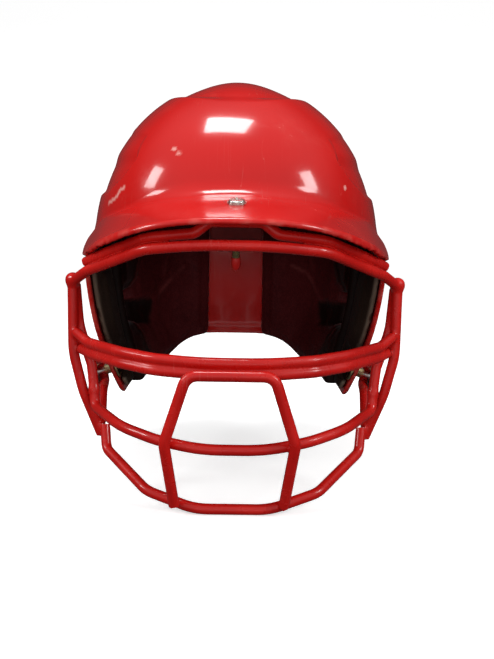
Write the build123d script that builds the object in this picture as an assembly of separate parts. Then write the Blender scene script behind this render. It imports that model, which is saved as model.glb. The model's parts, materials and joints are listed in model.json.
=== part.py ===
from build123d import *
from math import atan2, cos, pi, radians, sin, sqrt, tan
import os

# Batting helmet with a wire face guard, in millimetres.
# The design frame has +X to the right of a viewer who faces the helmet, +Y to its back and +Z up.
# Its origin is on the middle plane, under the crown, level with the tips of the ear flaps.
# Each piece is moved by STAND on export, so that the origin is the bottom centre of the whole helmet.

# ---- driving dimensions ----
HALF_WIDTH = 108.5         # shell, from the middle plane to its widest point
WIDEST_Z = 110.0           # height of the widest point
TOP_Z = 236.6              # crown
FLAP_TAPER = 22.0          # how far the ear flaps draw in from the widest point to their tips
AXIS_Y = 8.0               # the crown's place along Y
FRONT_LENGTH = 130.0       # from the crown to the forehead
FRONT_Z = 140.0            # height of the forehead's foremost point
BACK_LENGTH = 122.0        # from the crown to the back of the head
BACK_Z = 115.0             # height of the rearmost point
BACK_TAPER = 10.0          # how far the back draws in down to the rear rim
DOME_POWER = 2.35          # roundness of the dome in plan
CHEEK_POWER = 4.0          # squareness of the side walls below the brim
CHEEK_REACH = 28.0         # how much further forward the line of those walls runs
CHEEK_TOP_Z = 92.0         # they turn into the dome between these heights
DOME_LOW_Z = 130.0
SHELL_WALL = 3.5
SKIRT_HEIGHTS = (-6, 10, 26, 42, 58, 74, 90, 104)
CROWN_STEP = 7             # degrees between the sections above the widest point

BRIM_TIP_Y = -172.0        # foremost point of the brim
BRIM_TIP_Z = 132.7         # its upper edge at the middle
BRIM_SLOPE = 18.0          # degrees that the brim rises towards the forehead
BRIM_RADIUS = 135.0        # curve of the brim from side to side
BRIM_THICK = 4.0
BRIM_HALF_WIDTH = 107.0
BRIM_ROOT_Y = -70.0        # where the brim's outline is widest

WIRE_RADIUS = 3.5          # 4.8 mm steel wire in a vinyl coat
LOOP_LIFT = 8.0            # the mounting loop's middle line above the flap
NOSE_SHIFT = -2.0          # the nose loop is welded a little off the middle
PAD_GAP = 0.7              # clearance round every pad
SIDE_PAD_DEPTH = 20.0      # from the shell's outside to the cheek
EAR_PAD_DEPTH = 16.0       # the same along the ear flap's front
END_PAD_DEPTH = 13.0       # the same at the forehead, the crown and the back

BRIM_SCREW_Y = -143.0
BRIM_SCREW_LENGTH = 42.0
SIDE_SCREW_LENGTH = 18.0
SIDE_SCREW_Y = -34.0
SIDE_SCREW_Z = 19.0
SCREW_RADIUS = 2.5
SCREW_CLEARANCE = 0.35     # round the shank in every plain hole
THREAD_CLEARANCE = 0.05    # round the shank in the nuts
BARREL_RADIUS = 3.7        # barrel of the tee nuts in the ear flaps


# ---- helpers ----
def mirrored(shape):
    """The same piece on the other side of the middle plane."""
    return mirror(shape, about=Plane.YZ)


def quarter(value, reach):
    """Ordinate of a unit ellipse: 1 at the foot, 0 at the top."""
    return sqrt(max(0.0, 1.0 - (value / reach) ** 2))


def section_size(z, side_inset, end_inset):
    """Half width, front length, back length and plan power of the shell at a height."""
    side = HALF_WIDTH - side_inset
    front = FRONT_LENGTH - end_inset
    back = BACK_LENGTH - end_inset
    top = TOP_Z - end_inset
    if z > WIDEST_Z:
        side *= quarter(z - WIDEST_Z, top - WIDEST_Z)
    else:
        side -= FLAP_TAPER * ((WIDEST_Z - z) / WIDEST_Z) ** 2
    if z > BACK_Z:
        back *= quarter(z - BACK_Z, top - BACK_Z)
    else:
        back -= BACK_TAPER * ((BACK_Z - z) / (BACK_Z - 28.0)) ** 2
    if z > FRONT_Z:
        front *= quarter(z - FRONT_Z, top - FRONT_Z)
    cheek = min(1.0, max(0.0, (DOME_LOW_Z - z) / (DOME_LOW_Z - CHEEK_TOP_Z)))
    cheek = cheek * cheek * (3.0 - 2.0 * cheek)
    front += CHEEK_REACH * cheek
    return side, front, back, DOME_POWER + (CHEEK_POWER - DOME_POWER) * cheek


def plan_section(z, side_inset, end_inset, points=32):
    """The shell's plan at a height, as a closed smooth face."""
    side, front, back, front_power = section_size(z, side_inset, end_inset)
    outline = []
    for i in range(points):
        angle = 2.0 * pi * i / points
        behind = sin(angle) > 0
        power = DOME_POWER if behind else front_power
        across = abs(cos(angle) / side)
        along = abs(sin(angle) / (back if behind else front))
        radius = (across ** power + along ** power) ** (-1.0 / power)
        outline.append((radius * cos(angle), AXIS_Y + radius * sin(angle), z))
    return Face(Wire(Spline(*outline, periodic=True)))


def helmet_body(side_inset, end_inset):
    """Solid inside the shell's surface, drawn in by the insets."""
    rise = TOP_Z - end_inset - WIDEST_Z
    crown_heights = [WIDEST_Z + rise * sin(radians(a)) for a in range(CROWN_STEP, 88, CROWN_STEP)]
    heights = list(SKIRT_HEIGHTS) + crown_heights
    return loft([plan_section(z, side_inset, end_inset) for z in heights])


def corner_radii(points, radii):
    """The wanted radius at each corner, or the largest that its two runs leave room for."""
    fitted = []
    for before, corner, after, wanted in zip(points, points[1:], points[2:], radii):
        run_in = Vector(*corner) - Vector(*before)
        run_out = Vector(*after) - Vector(*corner)
        half_turn = radians(run_in.get_angle(run_out)) / 2.0
        shorter = min(run_in.length, run_out.length)
        fitted.append(min(wanted, 0.45 * shorter / tan(half_turn)))
    return fitted


def wire(points, radii, section_radius=WIRE_RADIUS):
    """Round wire of the guard along straight runs joined by tangent arcs."""
    path = FilletPolyline(*points, radius=corner_radii(points, radii))
    start = Plane(origin=path @ 0, z_dir=path % 0)
    return sweep(start * Circle(section_radius), path=path)


def symmetric_wire(half, radii, section_radius=WIRE_RADIUS):
    """A wire across the face, from the points and corner radii of its left half."""
    other = [(-x, y, z) for x, y, z in reversed(half)]
    return wire(half + other, radii + list(reversed(radii)), section_radius)


def screw_pieces(place, head_radius, head_height, length):
    """Pan-head screw whose head sits on place and whose shank runs down its -Z."""
    head = Cylinder(head_radius, head_height, align=(Align.CENTER, Align.CENTER, Align.MIN))
    head = fillet(head.edges().sort_by(Axis.Z)[-1], head_height * 0.7)
    slot = Box(head_radius * 1.5, 1.1, head_height * 0.45, align=(Align.CENTER, Align.CENTER, Align.MAX))
    cross = slot + Rot(0, 0, 90) * slot
    head -= Pos(0, 0, head_height) * cross
    shank = Cylinder(SCREW_RADIUS, length, align=(Align.CENTER, Align.CENTER, Align.MAX))
    return place * (head + shank)


def ring(outer, inner, low, high):
    """Flat ring between two heights."""
    return Pos(0, 0, low) * extrude(Circle(outer) - Circle(inner), amount=high - low)


# ---- shell ----
outside = helmet_body(0.0, 0.0)
inside = helmet_body(SHELL_WALL, SHELL_WALL)

# The brim is part of a cylinder whose straight lines rise towards the forehead.
brim_rise = Vector(0, cos(radians(BRIM_SLOPE)), sin(radians(BRIM_SLOPE)))
brim_start_y = BRIM_TIP_Y - 30.0
brim_start_z = BRIM_TIP_Z - 30.0 * sin(radians(BRIM_SLOPE)) / cos(radians(BRIM_SLOPE))


def brim_prism(top_drop, floor_z):
    """Everything between the brim's curved surface, lowered by top_drop, and a flat floor."""
    reach = BRIM_HALF_WIDTH + 20.0
    crown = Vector(0, brim_start_y, brim_start_z - top_drop)
    dip = BRIM_RADIUS - sqrt(BRIM_RADIUS ** 2 - reach ** 2)
    left = crown + Vector(-reach, 0, -dip)
    right = crown + Vector(reach, 0, -dip)
    arc = ThreePointArc(left, crown, right)
    walls = Polyline(right, (reach, brim_start_y, floor_z), (-reach, brim_start_y, floor_z), left)
    face = Face(Wire([arc] + list(walls.edges())))
    return extrude(face, amount=170.0, dir=brim_rise)


brim_outline = make_face(
    [
        EllipticalCenterArc((0, BRIM_ROOT_Y), BRIM_HALF_WIDTH, BRIM_ROOT_Y - BRIM_TIP_Y, 180, arc_size=180),
        Polyline((BRIM_HALF_WIDTH, BRIM_ROOT_Y), (BRIM_HALF_WIDTH, BRIM_ROOT_Y + 8),
                 (-BRIM_HALF_WIDTH, BRIM_ROOT_Y + 8), (-BRIM_HALF_WIDTH, BRIM_ROOT_Y)),
    ]
)
brim_plan = Pos(0, 0, 60) * extrude(brim_outline, amount=140)
brim = (brim_prism(0.0, -160.0) - brim_prism(BRIM_THICK, -190.0)) & brim_plan

# Side view of the shell's edge: down the ear flap's front, round its tip and back up to the rear rim.
EDGE = [(-90, 190), (-90, 116), (-80, 100), (-71, 84), (-60, 52), (-30, -0.5), (46, -0.5), (78, 7), (99, 21),
        (113, 28), (150, 28)]
EDGE_RADII = [20, 30, 50, 60, 9, 60, 80, 60, 30]


def outside_edge(inward, low_x=-130.0, high_x=130.0):
    """Prism along X of all that lies in front of and below the shell's edge, moved up and back by inward."""
    points = [(low_x, y + inward, z + inward) for y, z in EDGE]
    edge = FilletPolyline(*points, radius=corner_radii(points, EDGE_RADII))
    back = Polyline(points[-1], (low_x, 160, -40), (low_x, -220, -40), (low_x, -220, 200), points[0])
    return extrude(Face(Wire(list(edge.edges()) + list(back.edges()))), amount=high_x - low_x, dir=(1, 0, 0))


# The face opening reaches up to the brim; below the ears the whole edge is cut through.
under_brim = brim_prism(BRIM_THICK, -190.0)
low_part = Pos(0, 0, -20) * Box(280, 400, 160)
opening = outside_edge(0.0)
shell = outside - (opening & under_brim) - (opening & low_part) + brim - inside
EAR_HOLE = (28.0, 60.0, 17.0, 13.0)     # middle y, middle z, half length, half height
ear_y, ear_z, ear_long, ear_high = EAR_HOLE
ear_plane = Plane(origin=(0, ear_y, ear_z), x_dir=(0, 1, 0), z_dir=(1, 0, 0))
ear_bore = extrude(ear_plane * Ellipse(ear_long, ear_high), amount=140, both=True)
shell -= ear_bore
VENT_SLOT = (34.0, 9.0)
for vent_x, vent_z, tilt in ((-30, 176, 12), (30, 176, -12)):
    vent_plane = Plane(origin=(vent_x, 60, vent_z), x_dir=(1, 0, 0), z_dir=(0, 1, 0))
    shell -= vent_plane * Rot(0, 0, tilt) * extrude(SlotOverall(*VENT_SLOT), amount=90)

# ---- screw places ----
brim_screw_z = BRIM_TIP_Z + (BRIM_SCREW_Y - BRIM_TIP_Y) * sin(radians(BRIM_SLOPE)) / cos(radians(BRIM_SLOPE))
brim_place = Plane(
    origin=(0, BRIM_SCREW_Y, brim_screw_z),
    x_dir=(1, 0, 0),
    z_dir=(0, -sin(radians(BRIM_SLOPE)), cos(radians(BRIM_SLOPE))),
)
flap_half = section_size(SIDE_SCREW_Z, 0.0, 0.0)[0]
flap_slope = 2.0 * FLAP_TAPER * (WIDEST_Z - SIDE_SCREW_Z) / WIDEST_Z ** 2
flap_tilt = atan2(flap_slope, 1.0)
side_place = Plane(
    origin=(flap_half, SIDE_SCREW_Y, SIDE_SCREW_Z),
    x_dir=(0, 1, 0),
    z_dir=(cos(flap_tilt), 0, -sin(flap_tilt)),
)
hole_radius = SCREW_RADIUS + SCREW_CLEARANCE
shell -= brim_place * Cylinder(hole_radius, 30)
side_bore = side_place * Cylinder(BARREL_RADIUS + 0.2, 30)
shell -= side_bore
shell -= mirrored(side_bore)

# ---- pads ----
backing = SHELL_WALL + PAD_GAP
pad_outside = helmet_body(backing, backing)
lining = pad_outside - helmet_body(SIDE_PAD_DEPTH, END_PAD_DEPTH)
ear_lining = pad_outside - helmet_body(EAR_PAD_DEPTH, END_PAD_DEPTH)

SEAM_Y = 2.0               # where the ear pad meets the rear pad
STRIP_HALF = 23.5          # half width of the bare strip at the back
PAD_INSET = 3.0            # from the shell's edge to the pads
REAR_TOP = 172.0
pad_rim = outside_edge(PAD_INSET)


def between(low, high):
    """Box between two corners."""
    size = [b - a for a, b in zip(low, high)]
    middle = [(a + b) / 2 for a, b in zip(low, high)]
    return Pos(*middle) * Box(*size)


rear_zone = between((STRIP_HALF, SEAM_Y + PAD_GAP, 0), (130, 140, REAR_TOP))
rear_pad_right = (lining & rear_zone) - (pad_rim & low_part)
ear_window = extrude(ear_plane * RectangleRounded(2 * ear_long + 2, 2 * ear_high, 4), amount=140)
rear_pad_right -= ear_window
ear_zone = between((60, -90, 0), (130, SEAM_Y - PAD_GAP, 104))
ear_pad_right = (ear_lining & ear_zone) - pad_rim
crown_pad = lining & between((-72, -62, REAR_TOP + 14), (72, 82, 240))
front_pad = lining & between((-62, -130, 140), (62, -40, REAR_TOP + 8))
side_nut_room = side_place * Cylinder(9.5, 14)
ear_pad_right -= side_nut_room

# ---- guard wires, each with its half on the left given first ----
top_bar = symmetric_wire(
    [(-110.8, -95, 89), (-99, -108, 97.5), (-57, -149, 113.8), (-22, -161, 116.8)],
    [8.0, 30.0, 100.0],
)
BRIM_WIRE_POINTS = [(-101, -98, 102), (-84, -118, 109.5), (-56, -143, 119), (-26, -151, 122.5),
                    (-16.5, -150.5, 130.6)]
BRIM_WIRE_RADII = [20.0, 30.0, 8.0, 6.0]
brim_wire = symmetric_wire(BRIM_WIRE_POINTS, BRIM_WIRE_RADII)
upper_eye_bar = symmetric_wire(
    [(-107.5, -97.5, 53.5), (-98, -109, 48.6), (-73, -140, 47.2), (-50, -158, 46), (-20, -169, 45.4)],
    [8.0, 60.0, 40.0, 100.0],
)
lower_eye_bar = symmetric_wire(
    [(-104.5, -97, 42.5), (-96, -110, 41.0), (-73, -140, 40.1), (-50, -158, 38.9), (-20, -169, 38.3)],
    [8.0, 60.0, 40.0, 100.0],
)
nose_loop = Pos(NOSE_SHIFT, 0, 0) * symmetric_wire(
    [(-35, -152.2, -49), (-40.5, -168.6, -5), (-26.5, -176.2, 38.8)],
    [14.0, 9.0],
)
middle_bar = symmetric_wire(
    [(-96.4, -95, 14), (-95.5, -97, 2.5), (-72.5, -138, -1.8), (-48, -157, -5.6), (-20, -164.5, -9.6)],
    [9.0, 60.0, 40.0, 100.0],
)
lower_bar = symmetric_wire(
    [(-90, -87, -13), (-88, -94, -28), (-56, -136, -44.8), (-24, -149, -52.4)],
    [9.0, 20.0, 40.0],
)
upright_right = wire(
    [(110.8, -95, 92.5), (111, -93, 40), (104.5, -91, 12), (93.5, -84, -19)],
    [60.0, 60.0],
)
inner_upright_right = wire(
    [(106.5, -88, 86), (106, -88, 56), (98.5, -92, 31), (96.4, -95, 14.2)],
    [40.0, 20.0],
)


def flap_point(forward, up, lift):
    """Point near the side screw, in the flap's own directions."""
    moved = side_place.from_local_coords(Vector(-forward, up, lift))
    return (moved.X, moved.Y, moved.Z)


mount_loop_right = wire(
    [(99.6, -90, 37), flap_point(22, 9, LOOP_LIFT), flap_point(-8, 7.5, LOOP_LIFT),
     flap_point(-8, -7.5, LOOP_LIFT), flap_point(22, -11, LOOP_LIFT - 1.5), (93.5, -82, -10)],
    [12.0, 7.0, 7.0, 14.0],
)

# Wires meet face to face at their welds: each one stops at the surface of those made before it.
guard = {
    "guard_upright_left": mirrored(upright_right),
    "guard_upright_right": upright_right,
    "guard_inner_upright_left": mirrored(inner_upright_right),
    "guard_inner_upright_right": inner_upright_right,
    "guard_upper_eye_bar": upper_eye_bar,
    "guard_lower_eye_bar": lower_eye_bar,
    "guard_middle_bar": middle_bar,
    "guard_lower_bar": lower_bar,
    "guard_top_bar": top_bar,
    "guard_brim_wire": brim_wire,
    "guard_nose_loop": nose_loop,
    "guard_mount_loop_left": mirrored(mount_loop_right),
    "guard_mount_loop_right": mount_loop_right,
}
welded = {}
for name, bar in guard.items():
    for earlier in welded.values():
        bar = bar - earlier
    welded[name] = max(bar.solids(), key=lambda solid: solid.volume)

# ---- fasteners at the brim, from the head down the shank ----
BRIM_UNDER = -BRIM_THICK * cos(radians(BRIM_SLOPE)) - 0.1
HEAD_WASHER = 0.8
BLOCK_WIDTH = 33.0         # moulded block between the brim and the guard's brim wire
BLOCK_FRONT = 9.0          # from the screw's axis to its front
BLOCK_BACK = 8.0
BLOCK_HEIGHT = 20.0
BLOCK_EDGE = 1.5
WIRE_SEAT = 0.15           # clearance round the brim wire in the block's groove
CLAMP_WASHER = 1.5
NUT_HEIGHT = 4.0
CAP_LENGTH = 7.5
block_low = BRIM_UNDER - BLOCK_HEIGHT
clamp_low = block_low - CLAMP_WASHER
nut_low = clamp_low - NUT_HEIGHT
tip = HEAD_WASHER - BRIM_SCREW_LENGTH
brim_screw = screw_pieces(brim_place * Pos(0, 0, HEAD_WASHER), 5.4, 1.8, BRIM_SCREW_LENGTH)
brim_head_washer = brim_place * ring(6.1, hole_radius, 0.0, HEAD_WASHER)
block_plan = RectangleRounded(BLOCK_WIDTH, BLOCK_FRONT + BLOCK_BACK, BLOCK_EDGE)
block_plan = Pos(0, (BLOCK_BACK - BLOCK_FRONT) / 2) * block_plan
block = Pos(0, 0, block_low) * extrude(block_plan - Circle(hole_radius), amount=BLOCK_HEIGHT)
brim_clamp_block = brim_place * block & brim_prism(BRIM_THICK + 0.1, -190.0)
brim_clamp_block -= symmetric_wire(BRIM_WIRE_POINTS, BRIM_WIRE_RADII, WIRE_RADIUS + WIRE_SEAT)
brim_clamp_block = max(brim_clamp_block.solids(), key=lambda solid: solid.volume)
brim_clamp_washer = brim_place * ring(7.5, hole_radius, clamp_low, block_low)
hexagon = RegularPolygon(4.0, 6, major_radius=False) - Circle(SCREW_RADIUS + THREAD_CLEARANCE)
brim_nut = brim_place * Pos(0, 0, nut_low) * extrude(hexagon, amount=NUT_HEIGHT)
cap = Cylinder(3.4, CAP_LENGTH, align=(Align.CENTER, Align.CENTER, Align.MAX))
cap = fillet(cap.edges().sort_by(Axis.Z)[0], 2.6)
cap -= Cylinder(SCREW_RADIUS, CAP_LENGTH - 2.0, align=(Align.CENTER, Align.CENTER, Align.MAX))
brim_screw_cap = brim_place * Pos(0, 0, tip + CAP_LENGTH - 2.0) * cap

# ---- fasteners at the ear flaps ----
loop_top = LOOP_LIFT + WIRE_RADIUS + 0.1
washer_top = loop_top + 1.5
side_screw = screw_pieces(side_place * Pos(0, 0, washer_top), 5.4, 2.8, SIDE_SCREW_LENGTH)
side_washer = side_place * ring(10.0, hole_radius, loop_top, washer_top)
barrel_top = LOOP_LIFT - WIRE_RADIUS - 0.1
flange_low = -SHELL_WALL - 2.2
bore = SCREW_RADIUS + THREAD_CLEARANCE
side_nut = ring(8.5, bore, flange_low, flange_low + 1.2) + ring(BARREL_RADIUS, bore, flange_low, barrel_top)
side_nut = side_place * side_nut

pieces = {
    "shell": shell,
    "crown_pad": crown_pad,
    "front_pad": front_pad,
    "rear_pad_left": mirrored(rear_pad_right),
    "rear_pad_right": rear_pad_right,
    "ear_pad_left": mirrored(ear_pad_right),
    "ear_pad_right": ear_pad_right,
    **welded,
    "brim_screw": brim_screw,
    "brim_head_washer": brim_head_washer,
    "brim_clamp_block": brim_clamp_block,
    "brim_clamp_washer": brim_clamp_washer,
    "brim_nut": brim_nut,
    "brim_screw_cap": brim_screw_cap,
    "side_screw_left": mirrored(side_screw),
    "side_screw_right": side_screw,
    "side_washer_left": mirrored(side_washer),
    "side_washer_right": side_washer,
    "side_nut_left": mirrored(side_nut),
    "side_nut_right": side_nut,
}

# ---- export about the bottom centre of the whole helmet ----
boxes = [piece.bounding_box() for piece in pieces.values()]
low_y = min(box.min.Y for box in boxes)
high_y = max(box.max.Y for box in boxes)
low_z = min(box.min.Z for box in boxes)
STAND = Pos(0, -(low_y + high_y) / 2.0, -low_z)

os.makedirs("parts", exist_ok=True)
for name, piece in pieces.items():
    export_step(STAND * piece, f"parts/{name}.step")
print("moved by", STAND.position)
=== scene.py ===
import json
import math
import bpy
import numpy as np
from mathutils import Matrix, Vector


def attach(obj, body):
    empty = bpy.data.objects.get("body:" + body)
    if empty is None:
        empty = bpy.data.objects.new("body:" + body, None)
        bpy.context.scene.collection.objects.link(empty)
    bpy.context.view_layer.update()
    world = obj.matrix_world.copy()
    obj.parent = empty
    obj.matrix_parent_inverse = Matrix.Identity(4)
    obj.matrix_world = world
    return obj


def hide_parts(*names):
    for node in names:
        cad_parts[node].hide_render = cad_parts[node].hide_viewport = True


# Looks of a batting helmet with a wire face guard.
# Shapes are worked out in the design frame of the part, in millimetres: +X to the right of a viewer who
# faces the helmet, +Y to its back, +Z up, origin under the crown, level with the tips of the ear flaps.

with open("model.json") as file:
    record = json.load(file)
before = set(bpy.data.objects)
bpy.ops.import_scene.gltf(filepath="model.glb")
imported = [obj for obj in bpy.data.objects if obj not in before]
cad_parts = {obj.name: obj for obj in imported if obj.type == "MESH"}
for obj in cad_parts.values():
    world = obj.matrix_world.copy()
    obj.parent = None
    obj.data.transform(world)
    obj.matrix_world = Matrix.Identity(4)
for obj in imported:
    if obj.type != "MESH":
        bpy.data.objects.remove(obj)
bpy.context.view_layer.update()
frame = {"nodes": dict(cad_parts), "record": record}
nodes = frame["nodes"]
HEAD_CAVITY = np.array((0.0, 8.0, 30.0))    # the mount head_cavity, in the design frame
mounts = {mount["name"]: mount for mount in frame["record"]["mounts"]}
STAND = np.array(mounts["head_cavity"]["pos_m"]) * 1000.0 - HEAD_CAVITY
MM = 0.001


def to_row(points):
    """Design frame in millimetres to row frame in metres."""
    return (np.asarray(points, float) + STAND) * MM


def to_design(points):
    """Row frame in metres to design frame in millimetres."""
    return np.asarray(points, float) / MM - STAND


# ---- driving dimensions of the shell, as in the part ----
HALF_WIDTH, WIDEST_Z, TOP_Z = 108.5, 110.0, 236.6
FLAP_TAPER, AXIS_Y = 22.0, 8.0
FRONT_LENGTH, FRONT_Z = 130.0, 140.0
BACK_LENGTH, BACK_Z, BACK_TAPER = 122.0, 115.0, 10.0
DOME_POWER, CHEEK_POWER, CHEEK_REACH = 2.35, 4.0, 28.0
CHEEK_TOP_Z, DOME_LOW_Z = 92.0, 130.0
SHELL_WALL = 3.5
BRIM_TIP_Y, BRIM_TIP_Z, BRIM_SLOPE = -172.0, 132.7, math.radians(18.0)
BRIM_RADIUS, BRIM_THICK, BRIM_HALF_WIDTH, BRIM_ROOT_Y = 135.0, 4.0, 107.0, -70.0
BRIM_SCREW_Y = -143.0
SIDE_SCREW_Y, SIDE_SCREW_Z = -34.0, 19.0
WIRE_RADIUS, LOOP_LIFT, NOSE_SHIFT = 3.5, 8.0, -2.0
EDGE = [(-90, 190), (-90, 116), (-80, 100), (-71, 84), (-60, 52), (-30, -0.5), (46, -0.5), (78, 7), (99, 21),
        (113, 28), (150, 28)]
EDGE_RADII = [20, 30, 50, 60, 9, 60, 80, 60, 30]
EAR_HOLE = (28.0, 60.0, 17.0, 13.0)         # middle y, middle z, half length, half height
VENT_X, VENT_Z, VENT_TILT = 30.0, 176.0, math.radians(12.0)
VENT_HALF, VENT_RADIUS = 12.5, 4.5          # half the straight run of each vent's slot, and its end radius
BRIM_BORE, SIDE_BORE = 2.85, 3.9            # radii of the holes for the screws


# ---- distance fields: negative inside, in millimetres ----
def smoothstep(t):
    t = np.clip(t, 0.0, 1.0)
    return t * t * (3.0 - 2.0 * t)


def smooth_min(a, b, blend):
    share = np.clip(0.5 + 0.5 * (b - a) / blend, 0.0, 1.0)
    return b + (a - b) * share - blend * share * (1.0 - share)


def smooth_max(a, b, blend):
    return -smooth_min(-a, -b, blend)


def gradient(field, points, step=0.25):
    """Slope of a field at each point, by central differences."""
    slope = np.empty_like(points)
    for axis in range(3):
        shift = np.zeros(3)
        shift[axis] = step
        slope[:, axis] = (field(points + shift) - field(points - shift)) / (2.0 * step)
    return slope


def dome_level(p):
    """Zero on the helmet's smooth outside, whose plan is a superellipse at every height."""
    x, y, z = p[:, 0], p[:, 1] - AXIS_Y, p[:, 2]
    behind = y > 0
    rise = np.maximum(0.0, (z - WIDEST_Z) / (TOP_Z - WIDEST_Z))
    below = np.maximum(0.0, (WIDEST_Z - z) / WIDEST_Z)
    half = HALF_WIDTH - FLAP_TAPER * below ** 2
    cheek = smoothstep((DOME_LOW_Z - z) / (DOME_LOW_Z - CHEEK_TOP_Z))
    back = BACK_LENGTH - BACK_TAPER * np.maximum(0.0, (BACK_Z - z) / (BACK_Z - 28.0)) ** 2
    reach = np.where(behind, back, FRONT_LENGTH + CHEEK_REACH * cheek)
    power = np.where(behind, DOME_POWER, DOME_POWER + (CHEEK_POWER - DOME_POWER) * cheek)
    base = np.where(behind, BACK_Z, FRONT_Z)
    end_rise = (z - base) / (TOP_Z - base)
    left = 1.0 - rise ** 2
    high = (TOP_Z - WIDEST_Z) * (1.0 + end_rise) / ((TOP_Z - base) * (1.0 + rise))
    ratio = np.where(end_rise > 0, high, 1.0 / np.maximum(left, 1e-6))
    across = np.abs(x / half)
    along = np.abs(y) / (reach * np.sqrt(ratio))
    return (across ** power + along ** power) ** (2.0 / power) - left


def dome(p):
    return dome_level(p) / np.linalg.norm(gradient(dome_level, p), axis=1)


def fillet_path(points, radii, arc_steps=8):
    """Points along straight runs joined by tangent arcs, each as large as its runs allow."""
    points = [np.array(point, float) for point in points]
    path = [points[0]]
    for before, corner, after, wanted in zip(points, points[1:], points[2:], radii):
        run_in, run_out = corner - before, after - corner
        long_in, long_out = np.linalg.norm(run_in), np.linalg.norm(run_out)
        run_in, run_out = run_in / long_in, run_out / long_out
        half_turn = math.acos(np.clip(run_in @ run_out, -1.0, 1.0)) / 2.0
        cut = min(wanted * math.tan(half_turn), 0.45 * min(long_in, long_out))
        start, end = corner - run_in * cut, corner + run_out * cut
        middle = (run_out - run_in) / np.linalg.norm(run_out - run_in)
        radius = cut / math.tan(half_turn)
        centre = corner + middle * radius / math.cos(half_turn)
        side = (start - centre) / radius
        for i in range(arc_steps + 1):
            angle = 2.0 * half_turn * i / arc_steps
            path.append(centre + radius * (math.cos(angle) * side + math.sin(angle) * run_in))
    path.append(points[-1])
    return np.array(path)


def distance_to_path(p, path):
    """Distance from each point to a chain of straight runs."""
    best = np.full(len(p), 1e9)
    for a, b in zip(path[:-1], path[1:]):
        run = b - a
        share = np.clip((p - a) @ run / (run @ run), 0.0, 1.0)
        best = np.minimum(best, np.linalg.norm(p - a - share[:, None] * run, axis=1))
    return best


def inside_outline(p, outline):
    """True for each 2-D point inside a closed outline."""
    inside = np.zeros(len(p), bool)
    for (ax, ay), (bx, by) in zip(outline, np.roll(outline, -1, axis=0)):
        if ay == by:
            continue
        crosses = (p[:, 1] > ay) != (p[:, 1] > by)
        inside ^= crosses & (p[:, 0] < ax + (p[:, 1] - ay) * (bx - ax) / (by - ay))
    return inside


def outline_field(edge, closing):
    """Distance to edge in side view, looked up from a 1 mm grid: negative inside edge + closing."""
    low, high = np.array((-140.0, -40.0)), np.array((160.0, 245.0))
    ys, zs = np.arange(low[0], high[0] + 1.0), np.arange(low[1], high[1] + 1.0)
    grid = np.stack(np.meshgrid(ys, zs, indexing="ij"), axis=-1).reshape(-1, 2)
    away = distance_to_path(grid, np.array(edge, float))
    closed = np.vstack([edge, closing]) if len(closing) else np.array(edge, float)
    away[inside_outline(grid, closed)] *= -1.0
    table = away.reshape(len(ys), len(zs))

    def field(p):
        u = np.clip(p[:, 1:3], low, high - 1.001) - low
        cell = u.astype(int)
        part = u - cell
        i, j = cell.T
        s, t = part.T
        near = table[i, j] * (1 - t) + table[i, j + 1] * t
        far = table[i + 1, j] * (1 - t) + table[i + 1, j + 1] * t
        return near * (1 - s) + far * s

    return field


rim_opening = outline_field(fillet_path(EDGE, EDGE_RADII), [(160, -40), (-220, -40), (-220, 190)])

# The panel sunk into each side of the dome, in side view, and the raised cap on the crown, in plan.
SIDE_PANEL = [(-76, 188), (-84, 172), (-79, 160), (-62, 150.5), (-20, 149.5), (12, 154), (60, 163),
              (104, 178), (60, 191), (12, 195.5), (-40, 194), (-76, 188)]
side_panel = outline_field(fillet_path(SIDE_PANEL, [6, 20, 14, 30, 60, 60, 5, 60, 60, 30]), [])
PANEL_DEPTH, PANEL_EDGE = 2.6, 4.5
PANEL_FADE_Z, PANEL_FADE = 168.0, 12.0      # the panel runs out into the dome above this height
CAP_HALF, CAP_LENGTH, CAP_EDGE = 52.0, 82.0, 8.0
CAP_SINK, CAP_LEAN, CAP_LEAN_AT = 1.0, 2.8, 40.0    # how far the crown lies in, and how its sides lean
BACK_LIP_Z, BACK_LIP = 38.0, 1.8
BRIM_LIFT = 2.6                         # the brim's bend is this much flatter than a circle near its corners
ROOT_WIDE, ROOT_SHARP = 9.0, 1.4        # blend of the brim into the dome, at its middle and corners
EDGE_ROUND = 1.8                        # rounding of the shell's cut edges


def relief(p):
    """How far the shell's outside stands out from the smooth dome."""
    sunk = smoothstep(0.5 - side_panel(p) / PANEL_EDGE)
    sunk *= 1.0 - 0.75 * smoothstep((p[:, 2] - PANEL_FADE_Z) / PANEL_FADE)
    cap_edge = (np.hypot(p[:, 0] / CAP_HALF, (p[:, 1] - AXIS_Y) / CAP_LENGTH) - 1.0) * CAP_HALF
    cap = smoothstep(0.5 - cap_edge / CAP_EDGE) * (p[:, 2] > WIDEST_Z)
    lip = smoothstep((BACK_LIP_Z - p[:, 2]) / 4.0) * smoothstep((p[:, 1] - 60.0) / 30.0)
    crown = CAP_SINK + CAP_LEAN * smoothstep(np.abs(p[:, 0]) / CAP_LEAN_AT)
    return BACK_LIP * lip - PANEL_DEPTH * sunk - crown * cap


def brim_lift(p):
    """How far the brim lies above a circular bend, at each distance from the middle."""
    side = np.abs(p[:, 0])
    return BRIM_LIFT * smoothstep(side / 70.0) * (1.0 - smoothstep((side - 88.0) / 20.0))


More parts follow.
